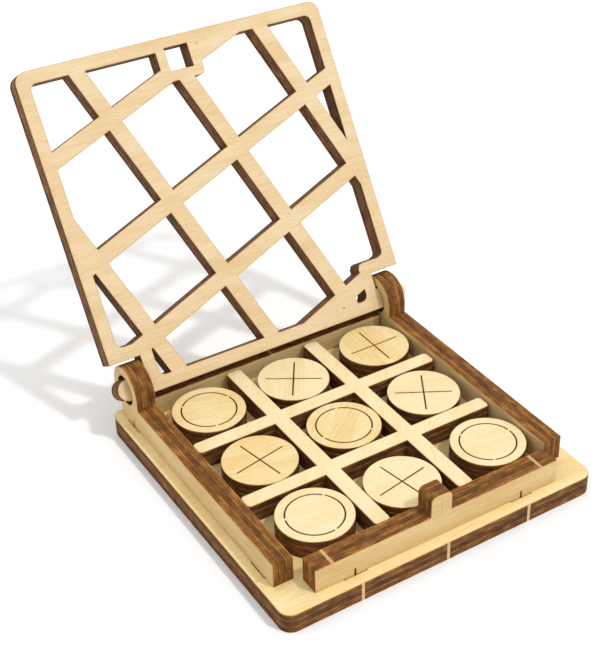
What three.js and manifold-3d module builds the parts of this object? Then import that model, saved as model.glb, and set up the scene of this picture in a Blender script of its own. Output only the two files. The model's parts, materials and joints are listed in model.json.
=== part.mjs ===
// Pocket tic-tac-toe game: a tray of nine loose counters under a lattice lid, every piece cut by laser
// from one thickness of birch plywood. Millimetres, +Z up. X runs along the hinge, -Y is the latch side
// and the origin is the centre of the base plate's underside.
import * as THREE from "three";
import { mergeVertices } from "three/addons/utils/BufferGeometryUtils.js";
import Module from "manifold-3d";

const wasm = await Module();
wasm.setup();

// ---- driving dimensions ----
const PLY = 4;                  // thickness of the plywood
const BASE_SIDE = 66;           // the base plate and the closed lid are both this square
const CORNER_R = 2.4;           // outer corners of the base plate and of the lid
const WALL_RISE = 4.9;          // side and front walls above the base plate
const MARGIN = 2.1;             // base plate showing outside the side walls
const LATCH_MARGIN = 2.4;       // base plate showing outside the front wall
const REAR_MARGIN = 1.3;        // base plate showing behind the side walls
const END_GAP = 1;              // open corners between the front wall and the side walls
const FRONT_WALL_GAP = 1.15;    // at each end of the front wall
const REAR_WALL_GAP = 0.3;      // at each end of the rear wall
const REAR_INNER = 27.4;        // inner face of the rear wall
const TURN_PLAY = 0.05;         // gap between the rear wall and the lid's turning edge
const TAB_INSET = 5;            // tab centre from either end of a side wall
const LID_LEAN = 32;            // degrees that the open lid leans back past upright
const HINGE_PLAY = 0.1;         // gap between the closed lid and the wall tops
const KERF = 0.3;               // width of a tab's relief cut
const SLOT_PLAY = 0.1;          // play on each side of a tab in its slot

const PEG_WIDTH = 4.2;          // hinge pegs, cut in one piece with the lid
const PEG_HOLE_R = 3;
const EAR_R = 4.9;
const HINGE_TO_REAR = 3.7;      // hinge axis in front of the base plate's rear edge

const TAB_WIDTH = 4.4;
const TAB_RELIEF = 1.4;         // how far a tab's relief cut runs up into its wall
const LATCH_RISE = 4.2;         // latch tab above the front wall
const LATCH_CORNER_R = 1.1;

const PITCH = 17.8;             // spacing of the grid bars
const BAR_WIDTH = 3.2;
const BAR_LENGTH = 53;
const BAR_CORNER_R = 0.8;
const GRID_SHIFT = 0.5;         // the grid sits this far behind the middle of the base plate

const COUNTER_R = 7.1;
const RING_R = 5.3;             // centre line of an O counter's ring cut
const RING_BRIDGE = 6;          // degrees left uncut at each of its three bridges
const CROSS_SPAN = 10.9;        // tip to tip of an X counter's crossing cuts
const MARK_WIDTH = 0.2;         // width of the cuts that mark a counter

const LID_BORDER = 2.6;         // frame around the lattice
const SHOULDER = 5.5;           // lid edge beside an ear, measured from the hinge axis
const NECK_HALF = 26.55;        // half width of the lid between the ears
const WINDOW_R = 1.3;           // inside corners of the frame
const LATTICE_TURN = 20.2;      // degrees
const LATTICE_CENTRE = [0.9, 26.3];
const STRIP_WIDTH = 3.25;
const STRIP_OFFSETS = [-28.4, -8.95, 8.95, 28.4];
const KEEPER_BORDER = 2;        // wood around the latch window
const SOFT_CORNER_R = 1;        // rounded outside corners of the keeper and beside the neck
const LATCH_PLAY = 0.3;

// ---- sizes that follow ----
const HALF = BASE_SIDE / 2;
const WALL_TOP = PLY + WALL_RISE;
const HINGE_Y = HALF - HINGE_TO_REAR;
const HINGE_Z = WALL_TOP + PLY / 2 + HINGE_PLAY;
const LID_REACH = HINGE_Y + HALF;
const SIDE_OUTER = HALF - MARGIN;
const SIDE_INNER = SIDE_OUTER - PLY;
const FRONT_OUTER = -HALF + LATCH_MARGIN;
const SIDE_FRONT = FRONT_OUTER + PLY + END_GAP;
const SIDE_REAR = HALF - REAR_MARGIN;
const FRONT_HALF = SIDE_INNER - FRONT_WALL_GAP;
const REAR_HALF = SIDE_INNER - REAR_WALL_GAP;
const REAR_TOP = HINGE_Z - Math.hypot(PLY / 2, PEG_WIDTH / 2) - TURN_PLAY;
const TAB_END = 0.1;            // tabs stop just short of the base plate's underside
const SIDE_TABS = [SIDE_FRONT + TAB_INSET, SIDE_REAR - TAB_INSET];
const SIDE_RELIEFS = [0, TAB_RELIEF];                       // a side wall's front relief cut is out of sight
const CROSS_TABS = [-PITCH, PITCH];

const birch = () => new THREE.MeshStandardMaterial({ color: 0xe9d3a3, roughness: 0.75, metalness: 0 });
const ARC_STEPS = 3;            // gives 6 chords to a quarter turn
const RING_STEPS = 12;          // chords along each of a ring's three cuts

// ---- helpers ----
function extrude(shape, curveSegments = ARC_STEPS) {
  const geometry = new THREE.ExtrudeGeometry(shape, { depth: PLY, bevelEnabled: false, curveSegments });
  return geometry.translate(0, 0, -PLY / 2);
}

function rectangle(x0, y0, x1, y1, radius = 0) {
  const shape = new THREE.Shape();
  if (radius === 0) {
    shape.moveTo(x0, y0).lineTo(x1, y0).lineTo(x1, y1).lineTo(x0, y1);
    return shape;
  }
  shape.absarc(x1 - radius, y0 + radius, radius, -Math.PI / 2, 0);
  shape.absarc(x1 - radius, y1 - radius, radius, 0, Math.PI / 2);
  shape.absarc(x0 + radius, y1 - radius, radius, Math.PI / 2, Math.PI);
  shape.absarc(x0 + radius, y0 + radius, radius, Math.PI, 1.5 * Math.PI);
  return shape;
}

function toSolid(geometry) {
  const bare = geometry.clone();
  bare.deleteAttribute("normal");
  bare.deleteAttribute("uv");
  const merged = mergeVertices(bare, 1e-4);
  return new wasm.Manifold(new wasm.Mesh({
    numProp: 3,
    vertProperties: new Float32Array(merged.attributes.position.array),
    triVerts: new Uint32Array(merged.index.array),
  }));
}

function toGeometry(solid) {
  const mesh = solid.getMesh();
  const geometry = new THREE.BufferGeometry();
  geometry.setAttribute("position", new THREE.BufferAttribute(mesh.vertProperties, 3));
  geometry.setIndex(new THREE.BufferAttribute(mesh.triVerts, 1));
  geometry.computeVertexNormals();
  return geometry;
}

function piece(name, geometry) {
  const mesh = new THREE.Mesh(geometry, birch());
  mesh.name = name;
  return mesh;
}

// a tab below a wall, split by a relief cut so that it can squeeze into its slot
function addSplitTab(path, centre, relief = TAB_RELIEF) {
  path.lineTo(centre - TAB_WIDTH / 2, PLY);
  path.lineTo(centre - TAB_WIDTH / 2, TAB_END);
  path.lineTo(centre - KERF / 2, TAB_END);
  path.lineTo(centre - KERF / 2, PLY + relief);
  path.lineTo(centre + KERF / 2, PLY + relief);
  path.lineTo(centre + KERF / 2, TAB_END);
  path.lineTo(centre + TAB_WIDTH / 2, TAB_END);
  path.lineTo(centre + TAB_WIDTH / 2, PLY);
}

// ---- base plate ----
function slotFor(x, y, alongX) {
  const halfX = (alongX ? TAB_WIDTH : PLY) / 2 + SLOT_PLAY;
  const halfY = (alongX ? PLY : TAB_WIDTH) / 2 + SLOT_PLAY;
  return toSolid(extrude(rectangle(x - halfX, y - halfY, x + halfX, y + halfY)));
}

function basePlate() {
  const slots = [];
  for (const side of [-1, 1]) {
    SIDE_TABS.forEach((y) => slots.push(slotFor(side * (SIDE_OUTER - PLY / 2), y, false)));
  }
  for (const x of CROSS_TABS) {
    slots.push(slotFor(x, FRONT_OUTER + PLY / 2, true));
    slots.push(slotFor(x, REAR_INNER + PLY / 2, true));
  }
  const plate = toSolid(extrude(rectangle(-HALF, -HALF, HALF, HALF, CORNER_R)));
  const mesh = piece("base_plate", toGeometry(slots.reduce((rest, slot) => rest.subtract(slot), plate)));
  mesh.position.z = PLY / 2;
  return mesh;
}

// ---- walls ----
function sideWall(name, side) {
  const path = new THREE.Shape();
  path.moveTo(SIDE_FRONT, PLY);
  SIDE_TABS.forEach((y, index) => addSplitTab(path, y, SIDE_RELIEFS[index]));
  path.lineTo(SIDE_REAR, PLY);
  path.absarc(HINGE_Y, HINGE_Z, EAR_R, -Math.acos((SIDE_REAR - HINGE_Y) / EAR_R), Math.PI);
  path.lineTo(HINGE_Y - EAR_R, WALL_TOP);
  path.lineTo(SIDE_FRONT, WALL_TOP);
  path.holes.push(new THREE.Path().absarc(HINGE_Y, HINGE_Z, PEG_HOLE_R, 0, 2 * Math.PI));
  const mesh = piece(name, extrude(path, 20));
  mesh.rotation.set(Math.PI / 2, 0, Math.PI / 2, "ZYX");
  mesh.position.x = side * (SIDE_OUTER - PLY / 2);
  return mesh;
}

function crossWall(name, halfLength, top, outerY, hasLatch) {
  const path = new THREE.Shape();
  path.moveTo(-halfLength, PLY);
  CROSS_TABS.forEach((x) => addSplitTab(path, x));
  path.lineTo(halfLength, PLY);
  path.lineTo(halfLength, top);
  if (hasLatch) {
    const half = TAB_WIDTH / 2;
    const tip = top + LATCH_RISE;
    path.lineTo(half, top);
    path.absarc(half - LATCH_CORNER_R, tip - LATCH_CORNER_R, LATCH_CORNER_R, 0, Math.PI / 2);
    path.absarc(-half + LATCH_CORNER_R, tip - LATCH_CORNER_R, LATCH_CORNER_R, Math.PI / 2, Math.PI);
    path.lineTo(-half, top);
  }
  path.lineTo(-halfLength, top);
  const mesh = piece(name, extrude(path));
  mesh.rotation.x = Math.PI / 2;
  mesh.position.y = outerY + PLY / 2;
  return mesh;
}

// ---- the grid that keeps the nine counters apart ----
function gridDivider() {
  const half = BAR_LENGTH / 2;
  const across = BAR_WIDTH / 2;
  const bars = [];
  for (const offset of [-PITCH / 2, PITCH / 2]) {
    bars.push(rectangle(offset - across, -half, offset + across, half, BAR_CORNER_R));
    bars.push(rectangle(-half, offset - across, half, offset + across, BAR_CORNER_R));
  }
  const solids = bars.map((bar) => toSolid(extrude(bar, 2)));
  const mesh = piece("grid_divider", toGeometry(solids.reduce((whole, bar) => whole.add(bar))));
  mesh.position.set(0, GRID_SHIFT, PLY * 1.5);
  return mesh;
}

// ---- lid: x along the hinge, y from the hinge axis to the latch edge, z through the plywood ----
function lidOutline() {
  const reach = LID_REACH;
  const foot = -PEG_WIDTH / 2;
  const pegEnd = HALF - PEG_WIDTH / 2;
  const shape = new THREE.Shape();
  shape.moveTo(-NECK_HALF, foot);
  shape.lineTo(NECK_HALF, foot);
  shape.absarc(pegEnd, 0, PEG_WIDTH / 2, -Math.PI / 2, Math.PI / 2);
  shape.lineTo(NECK_HALF, PEG_WIDTH / 2);
  shape.lineTo(NECK_HALF, SHOULDER);
  shape.lineTo(HALF, SHOULDER);
  shape.absarc(HALF - CORNER_R, reach - CORNER_R, CORNER_R, 0, Math.PI / 2);
  shape.absarc(-HALF + CORNER_R, reach - CORNER_R, CORNER_R, Math.PI / 2, Math.PI);
  shape.lineTo(-HALF, SHOULDER);
  shape.lineTo(-NECK_HALF, SHOULDER);
  shape.lineTo(-NECK_HALF, PEG_WIDTH / 2);
  shape.absarc(-pegEnd, 0, PEG_WIDTH / 2, Math.PI / 2, 1.5 * Math.PI);
  return shape;
}

// the space inside the frame: a wide field, and a narrower one that reaches down between the ears
function windowSolid() {
  const wide = HALF - LID_BORDER;
  const narrow = NECK_HALF - LID_BORDER;
  const top = LID_REACH - LID_BORDER;
  const field = rectangle(-wide, SHOULDER + LID_BORDER, wide, top, WINDOW_R);
  const neck = rectangle(-narrow, -PEG_WIDTH / 2 + LID_BORDER, narrow, top, WINDOW_R);
  let space = toSolid(extrude(field)).add(toSolid(extrude(neck)));
  for (const side of [-1, 1]) {
    space = space.add(cornerRounding(side * narrow, SHOULDER + LID_BORDER, side));
  }
  return space;
}

// what a rounded outside corner loses; the wood lies beyond x on the given side, and below y
function cornerRounding(x, y, side) {
  const r = SOFT_CORNER_R;
  const [left, right] = side > 0 ? [x, x + r] : [x - r, x];
  const square = toSolid(extrude(rectangle(left, y - r, right, y)));
  const round = new THREE.Shape().absarc(x + side * r, y - r, r, 0, 2 * Math.PI);
  return square.subtract(toSolid(extrude(round)));
}

function latticeSolid() {
  const long = BASE_SIDE * 1.5;
  const solids = [];
  for (const offset of STRIP_OFFSETS) {
    for (const turn of [LATTICE_TURN, LATTICE_TURN + 90]) {
      const strip = extrude(rectangle(-long, offset - STRIP_WIDTH / 2, long, offset + STRIP_WIDTH / 2));
      strip.rotateZ(THREE.MathUtils.degToRad(turn));
      strip.translate(LATTICE_CENTRE[0], LATTICE_CENTRE[1], 0);
      solids.push(toSolid(strip));
    }
  }
  return solids.reduce((whole, strip) => whole.add(strip));
}

function latticeLid() {
  const half = TAB_WIDTH / 2 + LATCH_PLAY;
  const latchFar = HINGE_Y - FRONT_OUTER + LATCH_PLAY;
  const latchNear = latchFar - PLY - 2 * LATCH_PLAY;
  const keeperNear = latchNear - KEEPER_BORDER;
  const keeperFar = LID_REACH - LID_BORDER / 2;
  const keeperHalf = half + KEEPER_BORDER;
  const keeper = rectangle(-keeperHalf, keeperNear, keeperHalf, keeperFar, SOFT_CORNER_R);
  const voids = windowSolid().subtract(latticeSolid()).subtract(toSolid(extrude(keeper)));
  const latchWindow = toSolid(extrude(rectangle(-half, latchNear, half, latchFar)));
  const plate = toSolid(extrude(lidOutline(), 5));
  return piece("lattice_lid", toGeometry(plate.subtract(voids).subtract(latchWindow)));
}

// ---- counters ----
function ringCut(centreAngle) {
  const points = [];
  for (const [radius, direction] of [[RING_R + MARK_WIDTH / 2, 1], [RING_R - MARK_WIDTH / 2, -1]]) {
    for (let step = 0; step <= RING_STEPS; step += 1) {
      const along = direction * (step / RING_STEPS - 0.5) * (120 - RING_BRIDGE);
      const angle = THREE.MathUtils.degToRad(centreAngle + along);
      points.push(new THREE.Vector2(radius * Math.cos(angle), radius * Math.sin(angle)));
    }
  }
  return new THREE.Path(points);
}

function crossCut() {
  const arm = CROSS_SPAN / 2;
  const side = MARK_WIDTH / 2;
  const points = [];
  for (const quarter of [0, 1, 2, 3]) {
    for (const [x, y] of [[arm, -side], [arm, side], [side, side]]) {
      points.push(new THREE.Vector2(x, y).rotateAround(new THREE.Vector2(), quarter * Math.PI / 2));
    }
  }
  return new THREE.Path(points);
}

function counterGeometry(mark) {
  const disc = new THREE.Shape().absarc(0, 0, COUNTER_R, 0, 2 * Math.PI);
  if (mark === "o") {
    disc.holes.push(ringCut(60), ringCut(180), ringCut(300));
    return extrude(disc, 24);
  }
  disc.holes.push(crossCut());
  return extrude(disc, 24);
}

// each counter lies loose in its cell, turned as it was dropped in: [mark, x, y, degrees]
const COUNTERS = [
  ["o", -18.7, 18.7, 18], ["x", -0.15, 18.2, -33], ["x", 19.4, 18.9, 0],
  ["x", -18.2, 0.3, 11], ["o", 0.1, 0.4, 73], ["x", 18.5, 0.4, -30.5],
  ["o", -17.75, -17.8, 41], ["x", -0.15, -19, 10.5], ["o", 19.5, -18.5, 5],
];

function counters() {
  const made = { o: 0, x: 0 };
  return COUNTERS.map(([mark, x, y, degrees]) => {
    made[mark] += 1;
    const mesh = piece(`counter_${mark}_${made[mark]}`, counterGeometry(mark));
    mesh.position.set(x, y, PLY * 1.5);
    mesh.rotation.z = THREE.MathUtils.degToRad(degrees);
    return mesh;
  });
}

// ---- assembly ----
const game = new THREE.Group();
game.add(basePlate());
game.add(sideWall("left_wall", -1));
game.add(sideWall("right_wall", 1));
game.add(crossWall("front_wall", FRONT_HALF, WALL_TOP, FRONT_OUTER, true));
game.add(crossWall("rear_wall", REAR_HALF, REAR_TOP, REAR_INNER, false));
game.add(gridDivider());
game.add(...counters());

const lid = new THREE.Group();
lid.position.set(0, HINGE_Y, HINGE_Z);
lid.rotation.x = THREE.MathUtils.degToRad(90 - LID_LEAN);
lid.add(latticeLid());
game.add(lid);

export default game;
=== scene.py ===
"""Pocket tic tac toe game, laser-cut from birch plywood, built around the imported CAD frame."""
import json
import math
import random

import bmesh
import bpy
from mathutils import Matrix, Vector
from mathutils.geometry import delaunay_2d_cdt

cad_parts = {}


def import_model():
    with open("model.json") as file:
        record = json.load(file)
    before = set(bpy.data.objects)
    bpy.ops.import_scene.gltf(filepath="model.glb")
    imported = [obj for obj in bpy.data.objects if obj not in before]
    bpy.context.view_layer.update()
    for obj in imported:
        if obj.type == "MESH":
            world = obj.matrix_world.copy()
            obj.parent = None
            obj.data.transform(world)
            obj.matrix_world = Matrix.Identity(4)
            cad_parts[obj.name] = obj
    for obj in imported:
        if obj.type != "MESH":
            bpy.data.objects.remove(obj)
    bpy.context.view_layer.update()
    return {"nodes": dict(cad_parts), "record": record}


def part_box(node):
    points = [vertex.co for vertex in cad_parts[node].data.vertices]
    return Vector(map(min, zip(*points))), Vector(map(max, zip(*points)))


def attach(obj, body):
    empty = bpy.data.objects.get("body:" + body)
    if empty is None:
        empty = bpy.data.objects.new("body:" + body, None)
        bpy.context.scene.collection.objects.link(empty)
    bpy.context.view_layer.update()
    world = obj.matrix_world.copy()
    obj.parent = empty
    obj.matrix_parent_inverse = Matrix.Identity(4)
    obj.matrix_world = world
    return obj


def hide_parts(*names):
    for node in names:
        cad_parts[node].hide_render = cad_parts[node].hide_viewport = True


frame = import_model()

# ---- sizes that come from the frame (metres) ----
BASE_LOW, BASE_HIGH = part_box("base_plate")
PLY = BASE_HIGH.z - BASE_LOW.z
BODIES = frame["record"]["behaviour"]["bodies"]
BODY_OF = {node: body for body, nodes in BODIES.items() for node in nodes}

# ---- finish of a laser-cut piece (metres) ----
EASED = 0.00006                 # the char that flakes off a cut edge leaves it slightly eased
SCORCH = 0.00024                # width of the tan scorch beside a cut
EDGE_SOFT = 0.00012             # band below an eased edge where its shading turns
GLUE_HALF = 0.00005             # half the height of a glue line between plies
GLUE_RECESS = 0.00003
COUNTER_SCORCH = 0.00012        # narrower, because a counter's cuts lie close together
NIB_WIDTH = 0.0006              # unburnt nib where a piece was held in its sheet
SHARP_ANGLE = 55                # degrees; eased edges shade softly below this

# ---- places of small marks (metres) ----
WALL_TOP = 0.0089
BASE_NIBS = (-0.0178, 0, 0.0178)
FRONT_WALL_NIBS = (-0.0222, 0.0222)
REAR_WALL_NIB = 0.0005
SCORE_LOW = 0.0082              # lower end of the line scored on the latch tab
SCORE_TOP_GAP = 0.0007          # from its upper end to the top of the tab
SCORE_HALF_WIDTH = 0.00006
SCORE_PROUD = 0.00001

# ---- light and camera ----
FLOOR_HALF = 4.0
FLOOR_WHITE = 0.93
SKY_LEVEL = 0.95
KEY_AZIMUTH = 31.7              # degrees to the right of the viewer's back
KEY_ELEVATION = 57.8
KEY_STRENGTH = 1.25
KEY_SOFTNESS = 5
CAMERA_TARGET = (-0.0031, -0.0053, 0.0329)
CAMERA_AZIMUTH = -32.71
CAMERA_ELEVATION = 34.48
CAMERA_DISTANCE = 0.245
CAMERA_ROLL = -0.66
CAMERA_LENS = 77.79
CAMERA_SENSOR = 36
CAMERA_SHIFT = (-0.0736, 0.0138)

X = Vector((1, 0, 0))
Y = Vector((0, 1, 0))
Z = Vector((0, 0, 1))
INSIDE_BORDERS = 1              # asks the triangulation for everything inside the outer border
TRIANGULATION_SCALE = 1000      # it works in millimetres
TRIANGULATION_GAP = 1e-5
MERGE_GAP = 1e-6                # metres
FACING = 0.9                    # a normal this close to a direction faces it
MITRE_LIMIT = 0.4


# ---- materials ----
class Nodes:
    """A short way to lay out a material's nodes."""

    def __init__(self, name):
        self.material = bpy.data.materials.new(name)
        self.material.use_nodes = True
        self.tree = self.material.node_tree
        self.tree.nodes.clear()

    def add(self, kind, **settings):
        node = self.tree.nodes.new(kind)
        for key, value in settings.items():
            if key in node.inputs:
                node.inputs[key].default_value = value
            else:
                setattr(node, key, value)
        return node

    def link(self, output, socket):
        self.tree.links.new(output, socket)

    def math(self, operation, a, b=0.0, clamp=False):
        node = self.add("ShaderNodeMath", operation=operation, use_clamp=clamp)
        for socket, value in zip(node.inputs, (a, b)):
            if isinstance(value, (int, float)):
                socket.default_value = value
            else:
                self.link(value, socket)
        return node.outputs[0]

    def ramp(self, value, stops):
        node = self.add("ShaderNodeValToRGB")
        elements = node.color_ramp.elements
        while len(elements) < len(stops):
            elements.new(0.5)
        for element, (position, colour) in zip(elements, stops):
            element.position = position
            element.color = (*colour, 1)
        self.link(value, node.inputs["Fac"])
        return node.outputs["Color"]

    def grey(self, value, stops):
        return self.ramp(value, [(at, (level,) * 3) for at, level in stops])

    def mix(self, factor, a, b):
        node = self.add("ShaderNodeMix", data_type="RGBA")
        for index, value in ((0, factor), (6, a), (7, b)):
            if isinstance(value, (int, float)):
                node.inputs[index].default_value = value
            elif isinstance(value, tuple):
                node.inputs[index].default_value = (*value, 1)
            else:
                self.link(value, node.inputs[index])
        return node.outputs[2]

    def noise(self, vector, stretch, detail=3.0, roughness=0.55):
        """Stretch is how often it varies in a metre: along the grain, across it, through the sheet."""
        scaled = self.add("ShaderNodeVectorMath", operation="MULTIPLY")
        self.link(vector, scaled.inputs[0])
        scaled.inputs[1].default_value = stretch
        node = self.add("ShaderNodeTexNoise", Scale=1.0, Detail=detail, Roughness=roughness)
        self.link(scaled.outputs[0], node.inputs["Vector"])
        return node.outputs["Fac"]

    def finish(self, shader):
        output = self.add("ShaderNodeOutputMaterial")
        self.link(shader.outputs[0], output.inputs["Surface"])
        return self.material


def plain(name, colour, roughness, specular=0.5):
    n = Nodes(name)
    shader = n.add("ShaderNodeBsdfPrincipled", Roughness=roughness)
    shader.inputs["Base Color"].default_value = (*colour, 1)
    shader.inputs["Specular IOR Level"].default_value = specular
    return n.finish(shader)


SCORCH_TAN = (0.56, 0.33, 0.10)
# colours of the charred cut edges, from deep char to lightly toasted plies
DEEP_CHAR = [(0.04, 0.013, 0.003), (0.145, 0.052, 0.011), (0.38, 0.18, 0.04)]
# the walls' char, lightened as painted light for their cut edges that face up into the light
WALL_CHAR_PAINTED_LIGHT = [(0.050, 0.015, 0.003), (0.205, 0.074, 0.012), (0.54, 0.265, 0.055)]


def face_veneer(n, grain, pale, warm):
    """Broad figure, fine streaks and short darker flecks. Returns (colour, streaks, hair)."""
    figure = n.noise(grain, (60, 260, 90), detail=3)
    streaks = n.noise(grain, (150, 2600, 700), detail=4, roughness=0.65)
    hair = n.noise(grain, (420, 7500, 2500), detail=2)
    flecks = n.noise(grain, (700, 5200, 3000), detail=1)
    tone = n.math("ADD", n.math("MULTIPLY", figure, 0.5), n.math("MULTIPLY", streaks, 0.5))
    veneer = n.ramp(tone, [(0.39, warm), (0.59, pale)])
    veneer = n.mix(n.grey(hair, [(0.38, 0.5), (0.55, 0.0)]), veneer, warm)
    veneer = n.mix(n.grey(flecks, [(0.26, 0.6), (0.34, 0.0)]), veneer, SCORCH_TAN)
    return veneer, streaks, hair


def cut_edge(n, grain, end_grain, char):
    """Charred plies: end grain takes a deeper char, glue lines and rims stay lighter in patches.

    Returns (colour, blotch, striation)."""
    through = n.add("ShaderNodeSeparateXYZ")
    n.link(grain, through.inputs[0])
    depth = n.math("DIVIDE", n.math("ABSOLUTE", through.outputs["Z"]), PLY / 2)
    striation = n.noise(grain, (5200, 5200, 260), detail=3, roughness=0.7)
    blotch = n.noise(grain, (420, 420, 900), detail=4, roughness=0.6)
    ply_grain = n.noise(grain, (220, 220, 3600), detail=4, roughness=0.6)
    level = n.math("ADD", n.math("MULTIPLY", blotch, 0.38), n.math("MULTIPLY", striation, 0.17))
    level = n.math("ADD", level, n.math("MULTIPLY", ply_grain, 0.45))
    in_core = n.grey(depth, [(0.3, 1.0), (0.34, 0.0)])
    dark_ply = n.mix(in_core, end_grain, n.math("SUBTRACT", 1.0, end_grain))
    level = n.math("SUBTRACT", level, n.math("MULTIPLY", dark_ply, 0.07))
    cut = n.ramp(level, list(zip((0.33, 0.5, 0.68), char)))
    glue = n.grey(depth, [(0.285, 0.0), (0.315, 0.45), (0.35, 0.45), (0.38, 0.0)])
    patchy = n.grey(blotch, [(0.38, 0.15), (0.6, 1.0)])
    cut = n.mix(n.math("MULTIPLY", glue, patchy), cut, SCORCH_TAN)
    rim = n.grey(depth, [(0.86, 0.0), (0.985, 0.5)])
    cut = n.mix(n.math("MULTIPLY", rim, patchy), cut, SCORCH_TAN)
    return cut, blotch, striation


def birch(name, pale, warm, char):
    """Sanded birch veneer on the faces, scorched beside the cuts, and charred plies on the cut edges."""
    n = Nodes(name)
    grain = n.add("ShaderNodeAttribute", attribute_name="grain").outputs["Vector"]
    burn = n.add("ShaderNodeAttribute", attribute_name="burn").outputs["Fac"]
    end_grain = n.add("ShaderNodeAttribute", attribute_name="end_grain").outputs["Fac"]
    nib = n.add("ShaderNodeAttribute", attribute_name="nib").outputs["Fac"]
    veneer, streaks, hair = face_veneer(n, grain, pale, warm)
    cut, blotch, striation = cut_edge(n, grain, end_grain, char)

    uneven = n.math("ADD", burn, n.math("MULTIPLY", n.math("SUBTRACT", blotch, 0.5), 0.5))
    colour = n.mix(n.grey(uneven, [(0.12, 0.0), (0.75, 0.7)]), veneer, SCORCH_TAN)
    on_cut = n.grey(burn, [(0.78, 0.0), (0.9, 1.0)])
    colour = n.mix(on_cut, colour, cut)
    colour = n.mix(n.math("MULTIPLY", nib, 0.8), colour, n.mix(striation, SCORCH_TAN, pale))

    shader = n.add("ShaderNodeBsdfPrincipled", IOR=1.45)
    shader.inputs["Specular IOR Level"].default_value = 0.3
    n.link(colour, shader.inputs["Base Color"])
    rough = n.math("ADD", n.math("MULTIPLY", streaks, 0.16), n.math("MULTIPLY", on_cut, 0.18))
    n.link(n.math("ADD", rough, 0.5, clamp=True), shader.inputs["Roughness"])
    relief = n.mix(on_cut, n.mix(0.5, streaks, hair), striation)
    bump = n.add("ShaderNodeBump", Strength=0.35, Distance=0.00008)
    n.link(relief, bump.inputs["Height"])
    n.link(bump.outputs["Normal"], shader.inputs["Normal"])
    return n.finish(shader)


FINISH = {
    "base": birch("birch_base", (0.89, 0.74, 0.42), (0.80, 0.59, 0.25), DEEP_CHAR),
    # the walls' veneer is darkened as painted shade for their upright faces, and their char is lightened
    # as painted light
    "wall": birch("birch_wall_painted_shade_and_light", (0.68, 0.51, 0.26), (0.57, 0.385, 0.155), WALL_CHAR_PAINTED_LIGHT),
    "lid": birch("birch_lid", (0.72, 0.57, 0.36), (0.64, 0.455, 0.235), DEEP_CHAR),
    "pale": birch("birch_pale", (0.85, 0.72, 0.45), (0.79, 0.62, 0.33), DEEP_CHAR),
    "honey": birch("birch_honey", (0.84, 0.69, 0.39), (0.75, 0.53, 0.22), DEEP_CHAR),
}


# ---- plywood pieces, each built up from the outline of its CAD node ----
def main_normal(mesh):
    """The direction through the plywood: the normal that most of the surface faces."""
    areas = {}
    for face in mesh.faces:
        direction = face.normal if face.normal.dot(Vector((0.9, -1, 1.1))) > 0 else -face.normal
        key = tuple(round(value, 2) for value in direction)
        areas[key] = areas.get(key, Vector()) + direction * face.calc_area()
    return max(areas.values(), key=lambda total: total.length).normalized()


def outlines(mesh, through):
    """The closed borders of the sheet, each a list of points with the wood on its left."""
    follow = {}
    for face in mesh.faces:
        if face.normal.dot(through) > FACING:
            for loop in face.loops:
                if loop.link_loop_radial_next.face.normal.dot(through) < FACING:
                    follow[loop.vert] = loop.link_loop_next.vert
    borders = []
    while follow:
        vert = next(iter(follow))
        border = []
        while vert in follow:
            border.append(vert.co.copy())
            vert = follow.pop(vert)
        borders.append(border)
    return borders


def add_nib(borders, nib):
    """Splits the nearest straight run at both sides of a nib. Returns the point it starts from."""
    best = None
    for border in borders:
        for index, start in enumerate(border):
            run = border[(index + 1) % len(border)] - start
            place = (nib - start).dot(run) / run.length_squared
            reach = NIB_WIDTH / 2 / run.length
            if reach < place < 1 - reach:
                distance = (start + run * place - nib).length
                if best is None or distance < best[0]:
                    first = start + run * (place - reach)
                    second = start + run * (place + reach)
                    best = (distance, border, index, first, second)
    border, index, first, second = best[1:]
    border[index + 1:index + 1] = [first, second]
    return first


def inset(border, distance):
    """The border moved into the wood, with mitred corners."""
    moved = []
    for index, point in enumerate(border):
        before = (point - border[index - 1]).normalized()
        after = (border[(index + 1) % len(border)] - point).normalized()
        corner = Vector((-before.y - after.y, before.x + after.x))
        moved.append(point + corner * (distance / max(1 + before.dot(after), MITRE_LIMIT)))
    return moved


def in_wood(point, corners, edges):
    """Whether a line drawn from the point to one side crosses the borders an odd number of times."""
    crossings = 0
    for start, end in edges:
        a, b = corners[start], corners[end]
        if (a.y > point.y) != (b.y > point.y):
            crossings += point.x < a.x + (b.x - a.x) * (point.y - a.y) / (b.y - a.y)
    return crossings % 2 == 1


def section(scorch):
    """The profile across a cut edge: (distance into the wood, height above the core, burn)."""
    half = PLY / 2
    line = PLY / 6
    upper = [
        (EASED + scorch, half, 0.0), (EASED, half, 0.7),
        (0, half - EASED, 1.0), (0, half - EASED - EDGE_SOFT, 1.0),
        (0, line + GLUE_HALF, 1.0), (GLUE_RECESS, line, 1.0), (0, line - GLUE_HALF, 1.0),
    ]
    return upper + [(inward, -height, burn) for inward, height, burn in reversed(upper)]


def sheet_outline(node, grain_direction, nibs):
    """Where a CAD piece's sheet lies, its borders in that sheet, and where each nib's run starts."""
    source = bmesh.new()
    source.from_mesh(frame["nodes"][node].data)
    bmesh.ops.remove_doubles(source, verts=source.verts, dist=MERGE_GAP)
    source.normal_update()
    through = main_normal(source)
    along = (grain_direction - through * grain_direction.dot(through)).normalized()
    across = through.cross(along)
    low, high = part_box(node)
    centre = (low + high) / 2
    place = Matrix.Translation(centre) @ Matrix((along, across, through)).transposed().to_4x4()
    to_sheet = place.inverted()
    borders = [[(to_sheet @ point).to_2d() for point in border] for border in outlines(source, through)]
    source.free()
    nib_starts = [add_nib(borders, (to_sheet @ Vector(nib)).to_2d()) for nib in nibs]
    return place, borders, nib_starts


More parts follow.
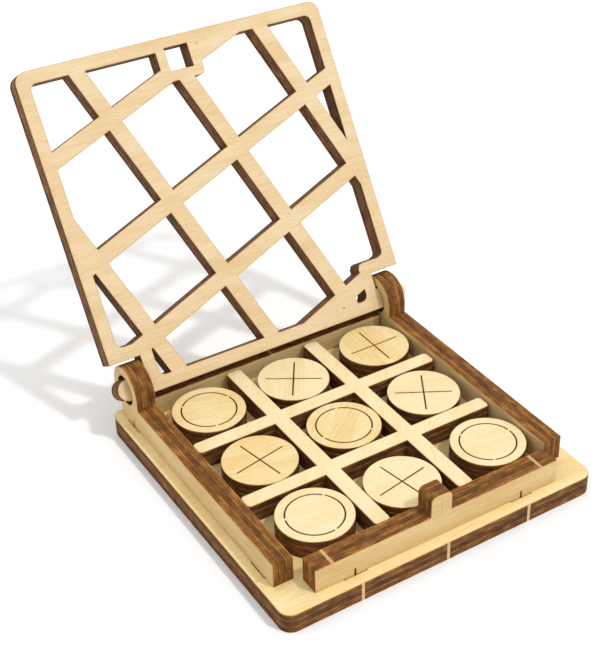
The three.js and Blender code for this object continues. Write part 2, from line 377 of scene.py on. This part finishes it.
class Sheet:
    """The surface of one piece, in its own sheet: x along the grain, z through the plywood."""

    def __init__(self, borders, nib_starts, scorch):
        self.verts, self.burns, self.ends = [], [], []
        self.faces, self.nib_faces = [], []
        self.cap_points, self.cap_edges, self.cap_verts = [], [], []
        rows = section(scorch)
        for border in borders:
            self.add_edge(border, rows, nib_starts)
        self.add_caps()

    def add_edge(self, border, rows, nib_starts):
        """Sweeps the profile of a cut edge around one border."""
        count = len(border)
        first = len(self.verts)
        for inward, height, burn in rows:
            for index, point in enumerate(inset(border, inward)):
                run = (border[(index + 1) % count] - border[index - 1]).normalized()
                self.verts.append(point.to_3d() + Z * height)
                self.burns.append(burn)
                self.ends.append(abs(run.y))
        for row in range(len(rows) - 1):
            for index, point in enumerate(border):
                here = first + row * count + index
                beyond = first + row * count + (index + 1) % count
                self.faces.append((here, here + count, beyond + count, beyond))
                self.nib_faces.append(1.0 if self.burns[here] == 1 and point in nib_starts else 0.0)
        start = len(self.cap_points)
        last_row = (len(rows) - 1) * count
        self.cap_points += [point * TRIANGULATION_SCALE for point in inset(border, rows[0][0])]
        self.cap_edges += [(start + index, start + (index + 1) % count) for index in range(count)]
        self.cap_verts += [(first + index, first + last_row + index) for index in range(count)]

    def add_caps(self):
        """Fills both faces of the sheet between the borders."""
        filled = delaunay_2d_cdt(self.cap_points, self.cap_edges, [], INSIDE_BORDERS, TRIANGULATION_GAP)
        points, triangles, sources = filled[0], filled[2], filled[3]
        for triangle in triangles:
            middle = sum((points[corner] for corner in triangle), Vector((0, 0))) / 3
            if in_wood(middle, self.cap_points, self.cap_edges):
                corners = [self.cap_verts[sources[corner][0]] for corner in triangle]
                self.faces.append([top for top, bottom in corners])
                self.faces.append([bottom for top, bottom in reversed(corners)])
                self.nib_faces += [0.0, 0.0]

    def to_mesh(self, name, place, shift):
        data = bpy.data.meshes.new(name)
        data.from_pydata([place @ vert for vert in self.verts], [], self.faces)
        data.attributes.new("burn", "FLOAT", "POINT").data.foreach_set("value", self.burns)
        data.attributes.new("end_grain", "FLOAT", "POINT").data.foreach_set("value", self.ends)
        data.attributes.new("nib", "FLOAT", "FACE").data.foreach_set("value", self.nib_faces)
        grain = data.attributes.new("grain", "FLOAT_VECTOR", "POINT")
        grain.data.foreach_set("vector", [value for vert in self.verts for value in vert + shift])
        data.shade_smooth()
        data.set_sharp_from_angle(angle=math.radians(SHARP_ANGLE))
        return data


def plywood(node, grain_direction, finish, scorch=SCORCH, nibs=()):
    """A finished copy of a CAD piece: eased and scorched edges, plies, glue lines and nibs."""
    place, borders, nib_starts = sheet_outline(node, grain_direction, nibs)
    sheet = Sheet(borders, nib_starts, scorch)
    shift = Vector((random.uniform(-1, 1), random.uniform(-1, 1), 0))
    data = sheet.to_mesh(node + "_plywood", place, shift)
    data.materials.append(FINISH[finish])
    piece = bpy.data.objects.new(node + "_plywood", data)
    bpy.context.scene.collection.objects.link(piece)
    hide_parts(node)
    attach(piece, BODY_OF[node])


def turned(degrees):
    """A direction in the plane of the base plate."""
    return Vector((math.cos(math.radians(degrees)), math.sin(math.radians(degrees)), 0))


random.seed(11)
BASE_NIB_POINTS = [(x, BASE_LOW.y, 0) for x in BASE_NIBS]
FRONT_NIB_POINTS = [(x, 0, WALL_TOP) for x in FRONT_WALL_NIBS]
plywood("base_plate", X, "base", nibs=BASE_NIB_POINTS)
plywood("left_wall", Y, "wall")
plywood("right_wall", Y, "wall")
plywood("front_wall", X, "wall", nibs=FRONT_NIB_POINTS)
plywood("rear_wall", X, "wall", nibs=[(REAR_WALL_NIB, 0, WALL_TOP)])
plywood("grid_divider", turned(58), "pale")
plywood("lattice_lid", X, "lid")

# each counter's grain direction in degrees, and its finish
COUNTER_FINISH = {
    "counter_o_1": (-15, "honey"), "counter_x_1": (57, "pale"), "counter_x_2": (90, "honey"),
    "counter_x_3": (-15, "honey"), "counter_o_2": (40, "honey"), "counter_x_4": (-20, "pale"),
    "counter_o_3": (0, "pale"), "counter_x_5": (10, "pale"), "counter_o_4": (-10, "pale"),
}
for node, (degrees, finish) in COUNTER_FINISH.items():
    plywood(node, turned(degrees), finish, scorch=COUNTER_SCORCH)


def latch_score():
    """The faint line scored down the middle of the latch tab's front face."""
    low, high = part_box("front_wall")
    bottom = SCORE_LOW
    top = high.z - SCORE_TOP_GAP
    half = SCORE_HALF_WIDTH
    corners = [(-half, bottom), (half, bottom), (half, top), (-half, top)]
    data = bpy.data.meshes.new("latch_score")
    data.from_pydata([(x, low.y - SCORE_PROUD, z) for x, z in corners], [], [(0, 1, 2, 3)])
    data.materials.append(plain("score_line", (0.42, 0.29, 0.15), 0.8))
    line = bpy.data.objects.new("latch_score", data)
    bpy.context.scene.collection.objects.link(line)
    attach(line, "box")


latch_score()


# ---- studio ----
def floor():
    data = bpy.data.meshes.new("floor")
    size = FLOOR_HALF
    corners = [(-size, -size), (size, -size), (size, size), (-size, size)]
    data.from_pydata([(x, y, BASE_LOW.z) for x, y in corners], [], [(0, 1, 2, 3)])
    data.materials.append(plain("studio_floor", (FLOOR_WHITE,) * 3, 0.9, specular=0.1))
    plane = bpy.data.objects.new("floor", data)
    bpy.context.scene.collection.objects.link(plane)


def sun(name, azimuth, elevation, strength, softness):
    """A distant soft light. Azimuth 0 shines along +Y, positive comes from the right."""
    light = bpy.data.lights.new(name, "SUN")
    light.energy = strength
    light.angle = math.radians(softness)
    lamp = bpy.data.objects.new(name, light)
    bpy.context.scene.collection.objects.link(lamp)
    lamp.rotation_euler = (math.radians(90 - elevation), 0, math.radians(azimuth))


def world(level):
    scene_world = bpy.data.worlds.new("studio_world")
    scene_world.use_nodes = True
    scene_world.node_tree.nodes["Background"].inputs["Color"].default_value = (1, 1, 1, 1)
    scene_world.node_tree.nodes["Background"].inputs["Strength"].default_value = level
    bpy.context.scene.world = scene_world


def camera():
    """Azimuth 0 looks along +Y, negative stands to the left."""
    data = bpy.data.cameras.new("camera")
    data.lens = CAMERA_LENS
    data.sensor_width = CAMERA_SENSOR
    data.shift_x, data.shift_y = CAMERA_SHIFT
    data.clip_start = 0.01
    data.clip_end = 20
    eye = bpy.data.objects.new("camera", data)
    bpy.context.scene.collection.objects.link(eye)
    turn = Matrix.Rotation(math.radians(CAMERA_AZIMUTH), 4, "Z")
    tilt = Matrix.Rotation(math.radians(90 - CAMERA_ELEVATION), 4, "X")
    place = Matrix.Translation(CAMERA_TARGET) @ turn @ tilt @ Matrix.Translation((0, 0, CAMERA_DISTANCE))
    eye.matrix_world = place @ Matrix.Rotation(math.radians(CAMERA_ROLL), 4, "Z")
    bpy.context.scene.camera = eye


floor()
world(SKY_LEVEL)
sun("key", KEY_AZIMUTH, KEY_ELEVATION, KEY_STRENGTH, KEY_SOFTNESS)
camera()
bpy.context.scene.view_settings.view_transform = "Standard"
